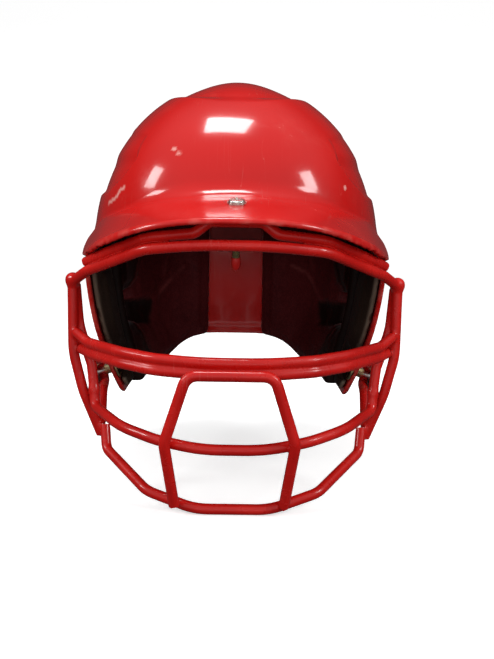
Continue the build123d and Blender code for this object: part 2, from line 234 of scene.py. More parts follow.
def brim_top(p):
    """Height above the brim's upper surface, square to it."""
    dip = BRIM_RADIUS - np.sqrt(np.maximum(BRIM_RADIUS ** 2 - p[:, 0] ** 2, 1.0))
    height = BRIM_TIP_Z + (p[:, 1] - BRIM_TIP_Y) * math.tan(BRIM_SLOPE) - dip + brim_lift(p)
    lean = np.minimum(np.abs(p[:, 0]) / BRIM_RADIUS, 0.85)
    return (p[:, 2] - height) * np.sqrt(1.0 - lean ** 2) * math.cos(BRIM_SLOPE)


def brim_outline(p):
    """Distance outside the brim's plan: half an ellipse with a short straight root."""
    y = np.minimum(p[:, 1] - BRIM_ROOT_Y, 0.0)
    depth = BRIM_ROOT_Y - BRIM_TIP_Y
    level = np.hypot(p[:, 0] / BRIM_HALF_WIDTH, y / depth)
    steep = np.hypot(p[:, 0] / BRIM_HALF_WIDTH ** 2, y / depth ** 2) / np.maximum(level, 1e-6)
    front = (level - 1.0) / np.maximum(steep, 1e-6)
    return smooth_max(front, p[:, 1] - BRIM_ROOT_Y - 8.0, 2.0)


brim_normal = np.array((0.0, -math.sin(BRIM_SLOPE), math.cos(BRIM_SLOPE)))
brim_screw_at = np.array((0.0, BRIM_SCREW_Y, BRIM_TIP_Z + (BRIM_SCREW_Y - BRIM_TIP_Y) * math.tan(BRIM_SLOPE)))
below_widest = (WIDEST_Z - SIDE_SCREW_Z) / WIDEST_Z
flap_half = HALF_WIDTH - FLAP_TAPER * below_widest ** 2
flap_tilt = math.atan(2.0 * FLAP_TAPER * below_widest / WIDEST_Z)
flap_out = np.array((math.cos(flap_tilt), 0.0, -math.sin(flap_tilt)))
flap_up = np.array((math.sin(flap_tilt), 0.0, math.cos(flap_tilt)))
side_screw_at = np.array((flap_half, SIDE_SCREW_Y, SIDE_SCREW_Z))


def rod(p, at, along):
    """Distance to a straight line."""
    off = p - at
    return np.linalg.norm(off - (off @ along)[:, None] * along, axis=1)


def shell_field(p):
    """The shell's wall with its brim, ear holes, rear vents and screw holes."""
    skin = dome(p)
    proud = relief(p)
    brim_high = brim_top(p)
    under_brim = brim_high + BRIM_THICK * math.cos(BRIM_SLOPE)
    cut = smooth_max(rim_opening(p), smooth_min(under_brim, p[:, 2] - 60.0, 1.0), 1.0)
    body = smooth_max(skin - proud, -cut, EDGE_ROUND)
    half_thick = 0.5 * BRIM_THICK * math.cos(BRIM_SLOPE)
    plate = np.hypot(np.maximum(brim_outline(p) + half_thick, 0.0), brim_high + half_thick) - half_thick
    root_blend = ROOT_WIDE + (ROOT_SHARP - ROOT_WIDE) * smoothstep((np.abs(p[:, 0]) - 30.0) / 50.0)
    solid = smooth_min(body, plate, root_blend)
    wall = smooth_max(solid, -(skin - 0.5 * proud + SHELL_WALL), EDGE_ROUND)
    ear_y, ear_z, ear_long, ear_high = EAR_HOLE
    ear = (np.hypot((p[:, 1] - ear_y) / ear_long, (p[:, 2] - ear_z) / ear_high) - 1.0) * ear_high
    wall = smooth_max(wall, -ear, 1.6)
    behind = p[:, 1] > 60.0
    mirrored = np.abs(p[:, 0])
    vent_x, vent_z = mirrored - VENT_X, p[:, 2] - VENT_Z
    along = vent_x * math.cos(VENT_TILT) + vent_z * math.sin(VENT_TILT)
    across = vent_z * math.cos(VENT_TILT) - vent_x * math.sin(VENT_TILT)
    vent = np.hypot(np.maximum(np.abs(along) - VENT_HALF, 0.0), across) - VENT_RADIUS
    wall = np.where(behind, smooth_max(wall, -vent, 1.6), wall)
    folded = np.column_stack([mirrored, p[:, 1], p[:, 2]])
    wall = smooth_max(wall, BRIM_BORE - rod(p, brim_screw_at, brim_normal), 0.4)
    return smooth_max(wall, SIDE_BORE - rod(folded, side_screw_at, flap_out), 0.4)


# ---- guard wires, each with its half on the left given first ----
def symmetric(half, radii):
    other = [(-x, y, z) for x, y, z in reversed(half)]
    return fillet_path(half + other, radii + radii[::-1])


def both_sides(points, radii):
    path = fillet_path(points, radii)
    return [path, path * np.array((-1.0, 1.0, 1.0))]


def flap_point(forward, up, lift):
    """Point near the side screw, in the flap's own directions."""
    return side_screw_at + forward * np.array((0.0, -1.0, 0.0)) + up * flap_up + lift * flap_out


nose_loop = symmetric([(-35, -152.2, -49), (-40.5, -168.6, -5), (-26.5, -176.2, 38.8)], [14, 9])
guard_paths = [
    symmetric([(-110.8, -95, 88.5), (-99, -108, 96.5), (-57, -149, 112.8), (-22, -161, 116.4)],
              [8, 30, 100]),
    symmetric([(-101, -98, 102), (-84, -118, 109.5), (-56, -143, 120), (-26, -151, 123.2),
               (-16.5, -150.5, 130.6)], [20, 30, 8, 6]),
    symmetric([(-107.5, -97.5, 53.5), (-98, -109, 48.6), (-73, -140, 47.2), (-50, -158, 46),
               (-20, -169, 45.4)], [8, 60, 40, 100]),
    symmetric([(-104.5, -97, 42.5), (-96, -110, 41), (-73, -140, 40.1), (-50, -158, 38.9),
               (-20, -169, 38.3)], [8, 60, 40, 100]),
    nose_loop + np.array((NOSE_SHIFT, 0.0, 0.0)),
    symmetric([(-96.4, -95, 14), (-95.5, -97, 2.5), (-72.5, -138, -1.8), (-48, -157, -5.6),
               (-20, -164.5, -9.6)], [9, 60, 40, 100]),
    symmetric([(-90, -87, -13), (-88, -94, -28), (-56, -136, -44.8), (-24, -149, -52.4)], [9, 20, 40]),
    *both_sides([(110.8, -95, 90), (111, -93, 40), (104.5, -91, 12), (93.5, -84, -19)], [60, 60]),
    *both_sides([(109.6, -91, 88.5), (107.5, -89, 58), (98.5, -92, 31), (96.4, -95, 14.2)], [40, 20]),
    *both_sides([(99.6, -90, 37), flap_point(22, 9, LOOP_LIFT), flap_point(-8, 7.5, LOOP_LIFT),
                 flap_point(-8, -7.5, LOOP_LIFT), flap_point(22, -11, LOOP_LIFT - 1.5), (93.5, -82, -10)],
                [12, 7, 7, 14]),
]
WELD_BLEND = 2.2
KNOB_AT, KNOB_RADIUS, KNOB_BLEND = np.array((110.8, -95.0, 89.8)), 4.4, 3.0     # bead on each top corner


def guard_field(p):
    """The wires with the vinyl coat run together at their welds."""
    field = np.full(len(p), 50.0)
    for path in guard_paths:
        near = np.all((p > path.min(0) - 12.0) & (p < path.max(0) + 12.0), axis=1)
        wire = distance_to_path(p[near], path) - WIRE_RADIUS
        field[near] = smooth_min(field[near], wire, WELD_BLEND)
    for side in (-1.0, 1.0):
        knob = np.linalg.norm(p - KNOB_AT * (side, 1.0, 1.0), axis=1) - KNOB_RADIUS
        field = smooth_min(field, knob, KNOB_BLEND)
    return field


# ---- mesh tools ----
def joined_copy(name, sources, voxel):
    """One closed mesh round copies of the CAD nodes, with even faces."""
    mesh = bpy.data.meshes.new(name)
    verts, faces, start = [], [], 0
    for source in sources:
        data = nodes[source].data
        verts += [v.co.copy() for v in data.vertices]
        faces += [[start + i for i in face.vertices] for face in data.polygons]
        start += len(data.vertices)
    mesh.from_pydata(verts, [], faces)
    made = bpy.data.objects.new(name, mesh)
    bpy.context.scene.collection.objects.link(made)
    remesh = made.modifiers.new("even", "REMESH")
    remesh.mode = "VOXEL"
    remesh.voxel_size = voxel * MM
    apply_modifiers(made)
    return made


def apply_modifiers(obj):
    """Turns what the modifiers show into the mesh itself."""
    shown = obj.evaluated_get(bpy.context.evaluated_depsgraph_get())
    mesh = bpy.data.meshes.new_from_object(shown)
    obj.modifiers.clear()
    old = obj.data
    obj.data = mesh
    mesh.name = obj.name
    bpy.data.meshes.remove(old)


def read_points(mesh):
    flat = np.zeros(len(mesh.vertices) * 3)
    mesh.vertices.foreach_get("co", flat)
    return flat.reshape(-1, 3)


def write_points(mesh, points):
    mesh.vertices.foreach_set("co", np.asarray(points, np.float32).ravel())
    mesh.update()


def read_edges(mesh):
    flat = np.zeros(len(mesh.edges) * 2, np.int64)
    mesh.edges.foreach_get("vertices", flat)
    return flat.reshape(-1, 2)


def neighbour_mean(points, edges):
    """The middle of the points that each point shares an edge with."""
    total = np.zeros_like(points)
    count = np.zeros(len(points))
    for a, b in ((0, 1), (1, 0)):
        np.add.at(total, edges[:, a], points[edges[:, b]])
        np.add.at(count, edges[:, a], 1.0)
    return total / np.maximum(count, 1.0)[:, None]


def settle_on(obj, field, rounds=4, spread=3):
    """Moves every vertex onto the field's zero surface, evens the faces and sets exact normals."""
    mesh = obj.data
    edges = read_edges(mesh)
    p = to_design(read_points(mesh))
    for turn in range(rounds + spread):
        slope = gradient(field, p)
        size = np.maximum((slope ** 2).sum(1), 0.05)
        p -= np.clip(field(p) / size, -2.0, 2.0)[:, None] * slope
        if turn < spread:
            normal = slope / np.sqrt(size)[:, None]
            drift = neighbour_mean(p, edges) - p
            p += 0.6 * (drift - (drift * normal).sum(1)[:, None] * normal)
    write_points(mesh, to_row(p))
    normal = gradient(field, p)
    normal /= np.maximum(np.linalg.norm(normal, axis=1), 1e-9)[:, None]
    mesh.shade_smooth()
    mesh.normals_split_custom_set_from_vertices(normal.tolist())
    return p


def store(mesh, name, values):
    """A value at each vertex, for a material to read."""
    layer = mesh.attributes.new(name, "FLOAT", "POINT")
    layer.data.foreach_set("value", np.asarray(values, np.float32))


# ---- materials ----
SOCKETS = {"coat_weight": "Coat Weight", "coat_roughness": "Coat Roughness", "metallic": "Metallic",
           "sheen_weight": "Sheen Weight", "sheen_roughness": "Sheen Roughness",
           "specular_ior_level": "Specular IOR Level"}


class Graph:
    """A node material, built by short calls."""

    def __init__(self, name):
        self.material = bpy.data.materials.new(name)
        self.material.use_nodes = True
        self.tree = self.material.node_tree
        self.shader = self.tree.nodes["Principled BSDF"]
        coords = self.tree.nodes.new("ShaderNodeTexCoord")
        self.place = coords.outputs["Object"]

    def node(self, kind, **settings):
        made = self.tree.nodes.new("ShaderNode" + kind)
        for key, value in settings.items():
            setattr(made, key, value)
        return made

    def link(self, source, target):
        self.tree.links.new(source, target)

    def feed(self, target, value):
        if isinstance(value, bpy.types.NodeSocket):
            self.link(value, target)
        else:
            target.default_value = value

    def noise(self, scale, detail=4.0, rough=0.5, stretch=(1, 1, 1), turn=(0, 0, 0), warp=0.0):
        mapping = self.node("Mapping")
        mapping.inputs["Scale"].default_value = stretch
        mapping.inputs["Rotation"].default_value = [math.radians(a) for a in turn]
        self.link(self.place, mapping.inputs["Vector"])
        made = self.node("TexNoise")
        self.link(mapping.outputs[0], made.inputs["Vector"])
        made.inputs["Scale"].default_value = scale
        made.inputs["Detail"].default_value = detail
        made.inputs["Roughness"].default_value = rough
        made.inputs["Distortion"].default_value = warp
        return made.outputs["Fac"]

    def cells(self, scale):
        made = self.node("TexVoronoi")
        self.link(self.place, made.inputs["Vector"])
        made.inputs["Scale"].default_value = scale
        return made.outputs["Distance"]

    def attribute(self, name):
        return self.node("Attribute", attribute_name=name).outputs["Fac"]

    def math(self, operation, a, b=0.0):
        made = self.node("Math", operation=operation)
        for socket, value in zip(made.inputs, (a, b)):
            self.feed(socket, value)
        return made.outputs[0]

    def band(self, value, low, high, start=0.0, end=1.0):
        """value mapped from low..high to start..end, held at both ends."""
        made = self.node("MapRange", interpolation_type="SMOOTHSTEP")
        self.feed(made.inputs["Value"], value)
        for key, number in zip(("From Min", "From Max", "To Min", "To Max"), (low, high, start, end)):
            made.inputs[key].default_value = number
        return made.outputs["Result"]

    def blend(self, share, a, b):
        """Colour a turning into colour b."""
        made = self.node("Mix", data_type="RGBA")
        self.feed(made.inputs["Factor"], share)
        for key, value in (("A", a), ("B", b)):
            socket = [s for s in made.inputs if s.name == key and s.type == "RGBA"][0]
            self.feed(socket, value if isinstance(value, bpy.types.NodeSocket) else (*value, 1.0))
        return [s for s in made.outputs if s.type == "RGBA"][0]

    def bump(self, height, distance, strength=1.0, under=None):
        made = self.node("Bump")
        self.feed(made.inputs["Height"], height)
        made.inputs["Distance"].default_value = distance
        made.inputs["Strength"].default_value = strength
        if under is not None:
            self.link(under, made.inputs["Normal"])
        return made.outputs["Normal"]

    def finish(self, color=None, roughness=None, normal=None, coat_normal=None, **fixed):
        for key, value in (("Base Color", color), ("Roughness", roughness), ("Normal", normal),
                           ("Coat Normal", coat_normal)):
            if value is not None:
                self.feed(self.shader.inputs[key], value)
        for key, value in fixed.items():
            self.shader.inputs[SOCKETS[key]].default_value = value
        return self.material


def scratches(g, density, turns):
    """Fine straight scuffs in several directions: 1 on a scratch, 0 off it."""
    total = None
    for i, turn in enumerate(turns):
        fine = g.noise(density, 2.0, 0.4, stretch=(1.0, 0.035, 0.035 + 0.01 * i), turn=turn)
        line = g.band(g.math("ABSOLUTE", g.math("SUBTRACT", fine, 0.5)), 0.0, 0.008, 1.0, 0.0)
        patch = g.band(g.noise(14.0 + 5.0 * i, 2.0, 0.5, turn=turn), 0.60, 0.72)
        part = g.math("MULTIPLY", line, patch)
        total = part if total is None else g.math("MAXIMUM", total, part)
    return total


def red_shell():
    g = Graph("red_shell")
    cloud = g.noise(9.0, 3.0, 0.5)
    color = g.blend(g.band(cloud, 0.35, 0.7), (0.56, 0.007, 0.006), (0.64, 0.010, 0.008))
    haze = g.band(g.noise(26.0, 5.0, 0.6, warp=0.6), 0.52, 0.78)
    color = g.blend(g.math("MULTIPLY", haze, 0.06), color, (0.85, 0.20, 0.16))
    scuffs = scratches(g, 190.0, [(0, 0, 20), (30, 60, 110), (75, 10, 65), (15, 100, 160)])
    worn = g.math("MULTIPLY", g.attribute("edge"), g.band(g.noise(90.0, 2.0, 0.5), 0.40, 0.66))
    color = g.blend(g.math("MULTIPLY", scuffs, 0.10), color, (0.92, 0.42, 0.36))
    color = g.blend(g.math("MULTIPLY", g.attribute("mark"), 0.75), color, (0.95, 0.50, 0.44))
    color = g.blend(g.math("MULTIPLY", worn, 0.30), color, (0.85, 0.20, 0.16))
    rough = g.math("ADD", g.band(haze, 0.0, 1.0, 0.17, 0.30), g.math("MULTIPLY", worn, 0.08))
    ripple = g.noise(34.0, 2.0, 0.4)
    normal = g.bump(ripple, 0.0006, 0.35)
    normal = g.bump(scuffs, 0.00012, 0.5, under=normal)
    return g.finish(color, rough, normal, coat_normal=g.bump(ripple, 0.0005, 0.3),
                    coat_weight=0.5, coat_roughness=0.05, specular_ior_level=0.3)


def red_vinyl(name, base, deep):
    g = Graph(name)
    cloud = g.band(g.noise(30.0, 3.0, 0.5), 0.35, 0.7)
    color = g.blend(cloud, base, deep)
    grime = g.band(g.noise(140.0, 5.0, 0.65), 0.60, 0.80)
    color = g.blend(g.math("MULTIPLY", grime, 0.25), color, (0.20, 0.02, 0.02))
    scuffs = scratches(g, 260.0, [(0, 0, 35), (60, 20, 120)])
    color = g.blend(g.math("MULTIPLY", scuffs, 0.15), color, (0.85, 0.35, 0.3))
    rough = g.band(g.noise(60.0, 4.0, 0.6), 0.3, 0.8, 0.20, 0.36)
    orange_peel = g.noise(150.0, 2.0, 0.5)
    normal = g.bump(orange_peel, 0.0004, 0.25)
    return g.finish(color, rough, normal, coat_weight=0.3, coat_roughness=0.10, specular_ior_level=0.35)


# Lining cloth: black satin whose red tint is painted red light, bounced from the shell onto it.
def satin_with_painted_red_bounce(name):
    g = Graph(name)
    cloud = g.band(g.noise(22.0, 4.0, 0.55), 0.3, 0.7)
    color = g.blend(cloud, (0.060, 0.006, 0.008), (0.095, 0.010, 0.012))
    weave_a = g.noise(1500.0, 1.0, 0.4, stretch=(1.0, 0.25, 1.0))
    weave_b = g.noise(1500.0, 1.0, 0.4, stretch=(1.0, 1.0, 0.25), turn=(20, 0, 0))
    weave = g.math("MULTIPLY", weave_a, weave_b)
    color = g.blend(g.band(weave, 0.18, 0.36, 0.0, 0.35), color, (0.20, 0.03, 0.03))
    # near black: the lining's own black ahead of the side seam, and painted shade on the floor of the pocket
    # behind the ear window
    color = g.blend(g.attribute("black_cloth_and_pocket_shade"), color, (0.012, 0.004, 0.003))
    # painted highlight: a lighter band along each sewn fold, where the satin ridge catches light
    color = g.blend(g.math("MULTIPLY", g.attribute("fold_highlight"), 0.75), color, (0.24, 0.050, 0.048))
    rough = g.band(cloud, 0.0, 1.0, 0.42, 0.55)
    normal = g.bump(g.noise(55.0, 4.0, 0.5, stretch=(1, 1, 2.5)), 0.0016, 0.5)
    normal = g.bump(weave, 0.0002, 0.5, under=normal)
    return g.finish(color, rough, normal, sheen_weight=0.04, sheen_roughness=0.35, specular_ior_level=0.15)


def black_foam(name):
    g = Graph(name)
    cloud = g.noise(18.0, 3.0, 0.5)
    color = g.blend(g.band(cloud, 0.3, 0.75), (0.016, 0.007, 0.005), (0.034, 0.020, 0.014))
    pores = g.band(g.cells(900.0), 0.10, 0.35)
    specks = g.band(g.noise(620.0, 3.0, 0.7), 0.62, 0.72)
    color = g.blend(g.math("MULTIPLY", specks, 0.35), color, (0.12, 0.08, 0.06))
    bare = g.attribute("bare")
    color = g.blend(bare, color, (0.20, 0.155, 0.115))
    rough = g.band(cloud, 0.2, 0.8, 0.62, 0.85)
    normal = g.bump(pores, 0.0003, 0.7)
    normal = g.bump(g.noise(70.0, 4.0, 0.5), 0.001, 0.4, under=normal)
    return g.finish(color, rough, normal, sheen_weight=0.02, sheen_roughness=0.4, specular_ior_level=0.12)


def plated_metal(name, base, deep, rough_low, rough_high, tarnished_below=None):
    g = Graph(name)
    cloud = g.band(g.noise(160.0, 4.0, 0.6), 0.35, 0.7)
    color = g.blend(cloud, base, deep)
    if tarnished_below is not None:
        parts = g.node("SeparateXYZ")
        g.link(g.place, parts.inputs[0])
        low = g.band(parts.outputs["Z"], tarnished_below - 0.002, tarnished_below, 1.0, 0.0)
        color = g.blend(low, color, (0.60, 0.47, 0.22))
    spots = g.band(g.noise(900.0, 3.0, 0.7), 0.64, 0.74)
    color = g.blend(g.math("MULTIPLY", spots, 0.5), color, tuple(0.35 * c for c in deep))
    rough = g.band(g.noise(420.0, 4.0, 0.6), 0.3, 0.75, rough_low, rough_high)
    normal = g.bump(g.noise(1200.0, 3.0, 0.6, stretch=(1, 0.1, 1)), 0.00008, 0.6)
    return g.finish(color, rough, normal, metallic=1.0)


# Red plastic of the brim's clamp block, painted very dark as the shade that the brim casts on it.
def moulded_block(name):
    g = Graph(name)
    cloud = g.noise(120.0, 4.0, 0.6)
    color = g.blend(g.band(cloud, 0.3, 0.7), (0.060, 0.004, 0.004), (0.085, 0.006, 0.005))
    rough = g.band(cloud, 0.3, 0.7, 0.34, 0.48)
    return g.finish(color, rough, g.bump(g.noise(900.0, 3.0, 0.6), 0.0001, 0.6))


def dress(obj, material):
    obj.data.materials.clear()
    obj.data.materials.append(material)


# ---- shell ----
# White scratches and chips on the front of the dome.
SCRATCHES = [
    [(-89.5, -71.5, 142), (-85, -78.5, 144.5), (-81.5, -82.5, 147.5), (-81, -82.5, 150), (-77, -87, 152.5)],
    [(73, -91, 154), (73.5, -90, 155.5)],
    [(52.5, -110.5, 141), (53, -110, 141.5)],
    [(-42.5, -103, 178), (-41.5, -103.5, 177.5)],
    [(-39, -106.5, 175), (-38, -106.5, 174.5)],
]
SCRATCH_HALF, SCRATCH_FADE = 0.6, 1.0          # half a scratch's width, and the fade on each side of it
EDGE_WEAR = 2.6                             # how far the wear reaches round the brim's edge
SHELL_VOXEL, GUARD_VOXEL = 1.75, 1.15
shell = joined_copy("helmet_shell", ["shell"], SHELL_VOXEL)
# Each vertex starts near its own surface, so that settling can't swap the two sides of the wall.
p = to_design(read_points(shell.data))
near_dome = smoothstep(2.0 - np.abs(dome(p)) / 8.0)
p += (relief(p) * near_dome)[:, None] * gradient(dome, p)
from_middle = np.abs(brim_top(p) + brim_lift(p) + 0.5 * BRIM_THICK)
on_brim = smoothstep(2.0 - from_middle / 4.0) * (brim_outline(p) < 4.0)
p[:, 2] += brim_lift(p) * on_brim
write_points(shell.data, to_row(p))
p = settle_on(shell, shell_field, spread=8)
brim_edge = np.exp(-(np.hypot(brim_outline(p), brim_top(p) + 0.5 * BRIM_THICK) / EDGE_WEAR) ** 2)
rim_edge = np.exp(-(rim_opening(p) / 1.2) ** 2) * (p[:, 2] < 105.0)
store(shell.data, "edge", np.clip(brim_edge + rim_edge, 0.0, 1.0))
mark = np.zeros(len(p))
for path in SCRATCHES:
    away = distance_to_path(p, np.array(path, float))
    mark = np.maximum(mark, smoothstep(1.0 - (away - SCRATCH_HALF) / SCRATCH_FADE))
store(shell.data, "mark", mark)
dress(shell, red_shell())
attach(shell, "helmet")
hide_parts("shell")

# ---- face guard ----
guard_nodes = sorted(name for name in nodes if name.startswith("guard_"))
guard = joined_copy("face_guard", guard_nodes, GUARD_VOXEL)
settle_on(guard, guard_field)
dress(guard, red_vinyl("red_vinyl_coat", (0.56, 0.008, 0.006), (0.68, 0.013, 0.009)))
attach(guard, "helmet")
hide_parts(*guard_nodes)


# ---- pads ----
PAD_VOXEL = 4.0
BACK_CLEAR = SHELL_WALL + 0.75      # from the shell's smooth outside to the back of a pad
END_DEPTH, LINING_DEPTH, EAR_DEPTH = 13.0, 20.0, 12.5
SEAM_Y, SEAM_GAP, STRIP_HALF, PAD_INSET = 2.0, 0.8, 24.2, 3.0
REAR_TOP, EAR_TOP = 171.3, 103.3
CROWN_HALF, CROWN_Y, CROWN_CORNER, CROWN_LOW = 71.3, 10.0, 20.0, 186.7
FRONT_HALF, FRONT_MIDDLE_Z, FRONT_HIGH, FRONT_BACK_Y = 61.3, 160.0, 19.3, -40.7
NUT_ROOM, NUT_HIGH = 9.5, 7.0               # radius and half height of the space round each tee nut
EAR_WINDOW = (28.0, 60.0, 18.0, 13.0)       # middle y, middle z, half length, half height
EAR_POCKET = [(40, 64), (76, 63), (64, 42), (43, 44), (40, 64)]     # hollow behind the window, in side view
POCKET_DEPTH = 7.0
SIDE_SEAM_Z = [18, 26, 52, 71, 95, 125]     # the side fold's line, ahead of which the lining lies in black
SIDE_SEAM_Y = [46, 41, 36, 33, 55, 57]
ear_pocket = outline_field(fillet_path(EAR_POCKET, [3, 3, 3]), [])


def rim_limit(p):
    """Negative inside the shell's rim, moved in by PAD_INSET."""
    return -rim_opening(p - np.array((0.0, PAD_INSET, PAD_INSET)))


def rear_limits(p):
    """Negative between the sides of a rear pad; x is taken without its sign."""
    sides = smooth_max(STRIP_HALF - np.abs(p[:, 0]), SEAM_Y + SEAM_GAP - p[:, 1], 3.0)
    sides = smooth_max(sides, p[:, 2] - REAR_TOP, 6.0)
    low_rim = np.where(p[:, 2] < 75.0, rim_limit(p), -50.0)
    window_y, window_z, window_long, window_high = EAR_WINDOW
    past_end, past_top = np.abs(p[:, 1] - window_y) - window_long, np.abs(p[:, 2] - window_z) - window_high
    window = smooth_max(past_end, past_top, 3.0)
    return smooth_max(smooth_max(sides, low_rim, 3.0), -window, 2.0)


def ear_limits(p):
    """Negative between the sides of an ear pad, clear of the tee nut."""
    sides = smooth_max(p[:, 1] - SEAM_Y + SEAM_GAP, p[:, 2] - EAR_TOP, 6.0)
    folded = np.column_stack([np.abs(p[:, 0]), p[:, 1], p[:, 2]])
    high = (folded - side_screw_at) @ flap_out
    nut_room = smooth_max(rod(folded, side_screw_at, flap_out) - NUT_ROOM, np.abs(high) - NUT_HIGH, 1.0)
    return smooth_max(smooth_max(sides, rim_limit(p), 2.0), -nut_room, 1.0)


def crown_limits(p):
    """Negative between the sides of the crown pad, a square with round corners."""
    sides = smooth_max(np.abs(p[:, 0]) - CROWN_HALF, np.abs(p[:, 1] - CROWN_Y) - CROWN_HALF, CROWN_CORNER)
    return smooth_max(sides, CROWN_LOW - p[:, 2], 4.0)


def front_limits(p):
    """Negative between the sides of the forehead pad."""
    sides = smooth_max(np.abs(p[:, 0]) - FRONT_HALF, np.abs(p[:, 2] - FRONT_MIDDLE_Z) - FRONT_HIGH, 8.0)
    return smooth_max(sides, p[:, 1] - FRONT_BACK_Y, 4.0)


def pad_field(limits, side_depth, inner_round, pocket_depth):
    """A pad between the shell and the head, with its inner edges rounded over and its pocket sunk."""
    end_depth = min(END_DEPTH, side_depth)

    def field(p):
        slope = gradient(dome_level, p)
        size = np.linalg.norm(slope, axis=1)
        skin = dome_level(p) / size
        depth = end_depth + (side_depth - end_depth) * (slope[:, 0] / size) ** 2
        depth -= pocket_depth * smoothstep(0.5 - ear_pocket(p) / 4.0)
        inner = smooth_max(-(skin + depth), limits(p), inner_round)
        return smooth_max(inner, skin + BACK_CLEAR, 2.0)
    return field


def puff(pads, swell):
    """Fills the pads with air for 20 frames of cloth simulation; no point moves further than swell."""
    starts = [read_points(pad.data) for pad in pads]
    for pad in pads:
        cloth = pad.modifiers.new("air", "CLOTH")
        settings = cloth.settings
        settings.quality = 5
        settings.mass = 0.3
        settings.use_pressure = True
        settings.uniform_pressure_force = 4.0
        settings.tension_stiffness = 25.0
        settings.compression_stiffness = 25.0
        settings.bending_stiffness = 2.0
        settings.effector_weights.gravity = 0.0
        cloth.point_cache.frame_start = 1
        cloth.point_cache.frame_end = 20
    scene = bpy.context.scene
    for number in range(1, 21):
        scene.frame_set(number)
    for pad, start in zip(pads, starts):
        apply_modifiers(pad)
        moved = read_points(pad.data) - start
        length = np.linalg.norm(moved, axis=1)
        moved *= np.minimum(1.0, swell * MM / np.maximum(length, 1e-9))[:, None]
        write_points(pad.data, start + moved)
    scene.frame_set(1)


FOLD_HIGH, FOLD_WIDE, FOLD_SINK, FOLD_REACH = 1.1, 1.9, 0.5, 6.0   # ridge, and the dip that lies beside it


def finish_cushion(pad, field, limits, folds):
    """Halves the faces, makes the sides and the back true again, raises the folds, and gives a mask for the
    painted highlight along them.
    """
    halve = pad.modifiers.new("smooth", "SUBSURF")
    halve.levels = 1
    halve.render_levels = 1
    apply_modifiers(pad)
    mesh = pad.data
    edges = read_edges(mesh)
    p = to_design(read_points(mesh))
    for _ in range(5):
        slope = gradient(field, p)
        size = np.maximum((slope ** 2).sum(1), 0.05)
        side = smoothstep(1.0 + limits(p) / 10.0)
        back = smoothstep(1.0 + (dome(p) + BACK_CLEAR) / 5.0)
        share = np.maximum(side, back) / size
        p -= (share * np.clip(field(p), -1.5, 1.5))[:, None] * slope
        drift = neighbour_mean(p, edges) - p
        across = slope / np.sqrt(size)[:, None]
        p += 0.5 * (drift - (drift * across).sum(1)[:, None] * across)
    # a narrow band on each fold's ridge, painted lighter as highlight
    fold_highlight = np.zeros(len(p))
    across = gradient(field, p)
    across /= np.maximum(np.linalg.norm(across, axis=1), 1e-6)[:, None]
    for path in folds:
        away = distance_to_path(p, np.array(path, float))
        dip = FOLD_SINK * np.exp(-((away - FOLD_REACH) / 3.5) ** 2)
        p += (FOLD_HIGH * (np.exp(-(away / FOLD_WIDE) ** 2) - dip))[:, None] * across
        fold_highlight = np.maximum(fold_highlight, np.exp(-(away / 1.5) ** 2))
    write_points(mesh, to_row(p))
    mesh.shade_smooth()
    return p, fold_highlight


# The folds sewn into each rear pad, from the top down.
FOLDS = {
    "rear_pad_left": [
        [(-84, 57, 125), (-84.5, 56, 95), (-86, 35, 71), (-82.5, 38, 52), (-75, 41, 26), (-71.5, 47, 18.5)],
        [(-61, 97, 130), (-62.5, 96, 99.5), (-63.5, 93, 84.5)],
        [(-47, 105, 89), (-55.5, 100.5, 81.5), (-70.5, 79.5, 63.5)],
        [(-73, 66, 41), (-68, 72, 30)],
    ],
    "rear_pad_right": [
        [(84.5, 53, 125), (85.5, 52, 95.5), (87.5, 28.5, 76), (84.5, 25.5, 55.5), (79, 28.5, 33),
         (73.5, 41.5, 21.5)],
        [(66, 91, 130), (67.5, 90, 97.5), (69, 87, 88)],
        [(50, 102, 92), (64.5, 92.5, 86), (75, 71, 65)],
        [(74, 62, 41), (69, 69, 30)],
    ],
}
# satin lining with the shell's red bounce light painted into its colour
lining_cloth = satin_with_painted_red_bounce("maroon_lining")
foam = black_foam("black_foam")
# Each pad: its limits, its depth at the sides, the rounding of its inner edges, its pocket and its cloth.
PADS = {
    "crown_pad": (crown_limits, LINING_DEPTH, 10.0, 0.0, lining_cloth),
    "front_pad": (front_limits, LINING_DEPTH, 10.0, 0.0, lining_cloth),
    "rear_pad_left": (rear_limits, LINING_DEPTH, 9.0, POCKET_DEPTH, lining_cloth),
    "rear_pad_right": (rear_limits, LINING_DEPTH, 9.0, POCKET_DEPTH, lining_cloth),
    "ear_pad_left": (ear_limits, EAR_DEPTH, 14.0, 0.0, foam),
    "ear_pad_right": (ear_limits, EAR_DEPTH, 14.0, 0.0, foam),
}
SWELL = 2.5                                 # the furthest that the air moves a point
cushions = {}
for node, (limits, side_depth, inner_round, pocket_depth, material) in PADS.items():
    cushions[node] = joined_copy(node + "_cushion", [node], PAD_VOXEL)
    settle_on(cushions[node], pad_field(limits, side_depth, inner_round, pocket_depth))
puff(list(cushions.values()), SWELL)
for node, (limits, side_depth, inner_round, pocket_depth, material) in PADS.items():
    pad = cushions[node]
    field = pad_field(limits, side_depth, inner_round, pocket_depth)
    p, fold_highlight = finish_cushion(pad, field, limits, FOLDS.get(node, []))
    store(pad.data, "fold_highlight", fold_highlight)
    seam_y = np.interp(p[:, 2], SIDE_SEAM_Z, SIDE_SEAM_Y)
    ahead = smoothstep((seam_y - p[:, 1]) / 2.0) * (p[:, 1] > SEAM_Y) * (p[:, 2] < 150.0)
    # the pocket's floor is painted dark as shade
    pocket = smoothstep(0.5 - ear_pocket(p) / 2.0) * (pocket_depth > 0.0)
    store(pad.data, "black_cloth_and_pocket_shade", np.maximum(ahead, pocket))
    store(pad.data, "bare", smoothstep(1.9 + rim_limit(p) / 1.6) * (p[:, 2] < 100.0))
    dress(pad, material)
    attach(pad, "helmet")
    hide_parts(node)

